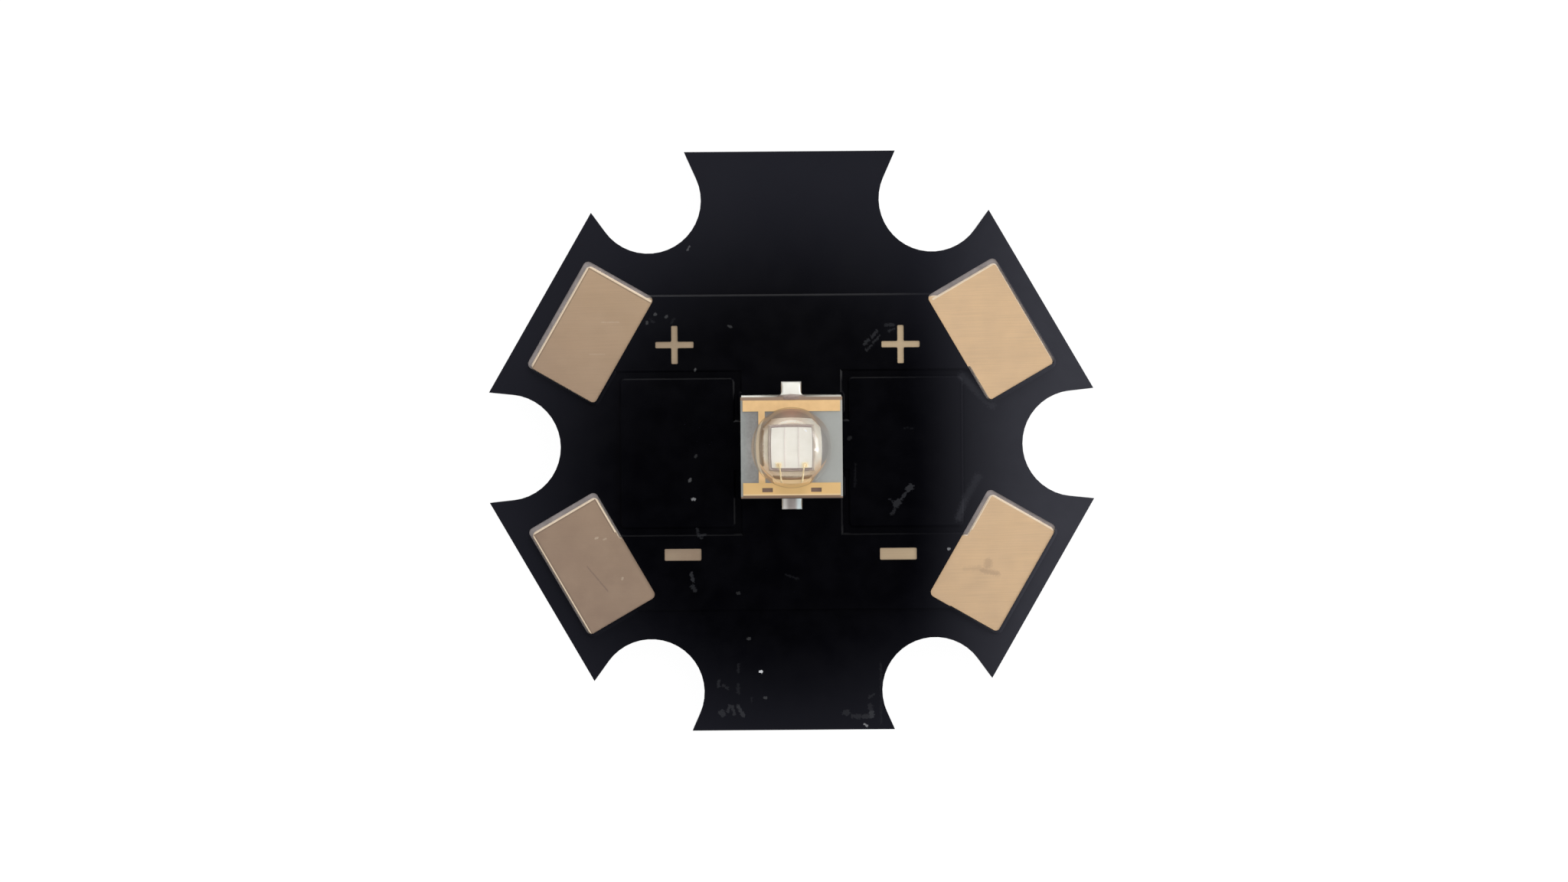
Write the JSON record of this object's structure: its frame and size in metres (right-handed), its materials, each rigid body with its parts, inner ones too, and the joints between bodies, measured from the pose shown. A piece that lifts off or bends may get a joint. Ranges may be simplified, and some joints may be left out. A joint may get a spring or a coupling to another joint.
{
  "type": "light emitting diode on a star board",
  "caption": "Square ceramic light emitter with a clear dome, soldered to a black six-notch metal-core star board with plus and minus wire pads.",
  "frame": {"origin": "centre of the ring of six notches, on the flat underside of the board", "axes": "+Z out of the emitter's dome, +Y towards the plus pads, +X towards the right-hand pads"},
  "size_m": [0.0208, 0.02, 0.0034],
  "materials": {
    "aluminium_core": "milled plate, brushed underside and sawn edges",
    "dielectric": "grey filled resin",
    "copper_foil": "etched copper under the mask",
    "black_mask": "semi-gloss black lacquer with fine scuffs",
    "pad_plating": "pale gold plating, faintly brushed",
    "mark_plating": "pale gold plating",
    "solder": "bright reflowed solder",
    "terminal_metal": "gold plated metal",
    "via_metal": "fired metal paste",
    "ceramic": "fine-grained grey ceramic",
    "land_gold": "matt gold",
    "die_attach": "solder",
    "die_carrier": "dark carrier",
    "emitting_film": "cream film, faintly roughened",
    "contact_metal": "thin grey-gold metal",
    "bond_gold": "bright gold wire",
    "clear_silicone": "clear moulded silicone"
  },
  "bodies": {
    "root": {"core_plate": "aluminium_core", "dielectric_layer": "dielectric", "positive_foil": "copper_foil", "negative_foil": "copper_foil", "thermal_foil": "copper_foil", "solder_mask": "black_mask", "solder_pad_plus_left": "pad_plating", "solder_pad_plus_right": "pad_plating", "solder_pad_minus_left": "pad_plating", "solder_pad_minus_right": "pad_plating", "plus_mark_left": "mark_plating", "plus_mark_right": "mark_plating", "minus_mark_left": "mark_plating", "minus_mark_right": "mark_plating", "solder_joint_plus": "solder", "solder_joint_minus": "solder", "thermal_solder": "solder", "terminal_plus": "terminal_metal", "terminal_minus": "terminal_metal", "thermal_terminal": "terminal_metal", "frame_vias": "via_metal", "die_conductor": "via_metal", "ceramic_base": "ceramic", "frame_land": "land_gold", "die_land": "land_gold", "die_attach": "die_attach", "led_die": "die_carrier", "emitting_film": "emitting_film", "die_contacts": "contact_metal", "bond_wire_left": "bond_gold", "bond_wire_right": "bond_gold", "lens": "clear_silicone"}
  },
  "joints": []
}
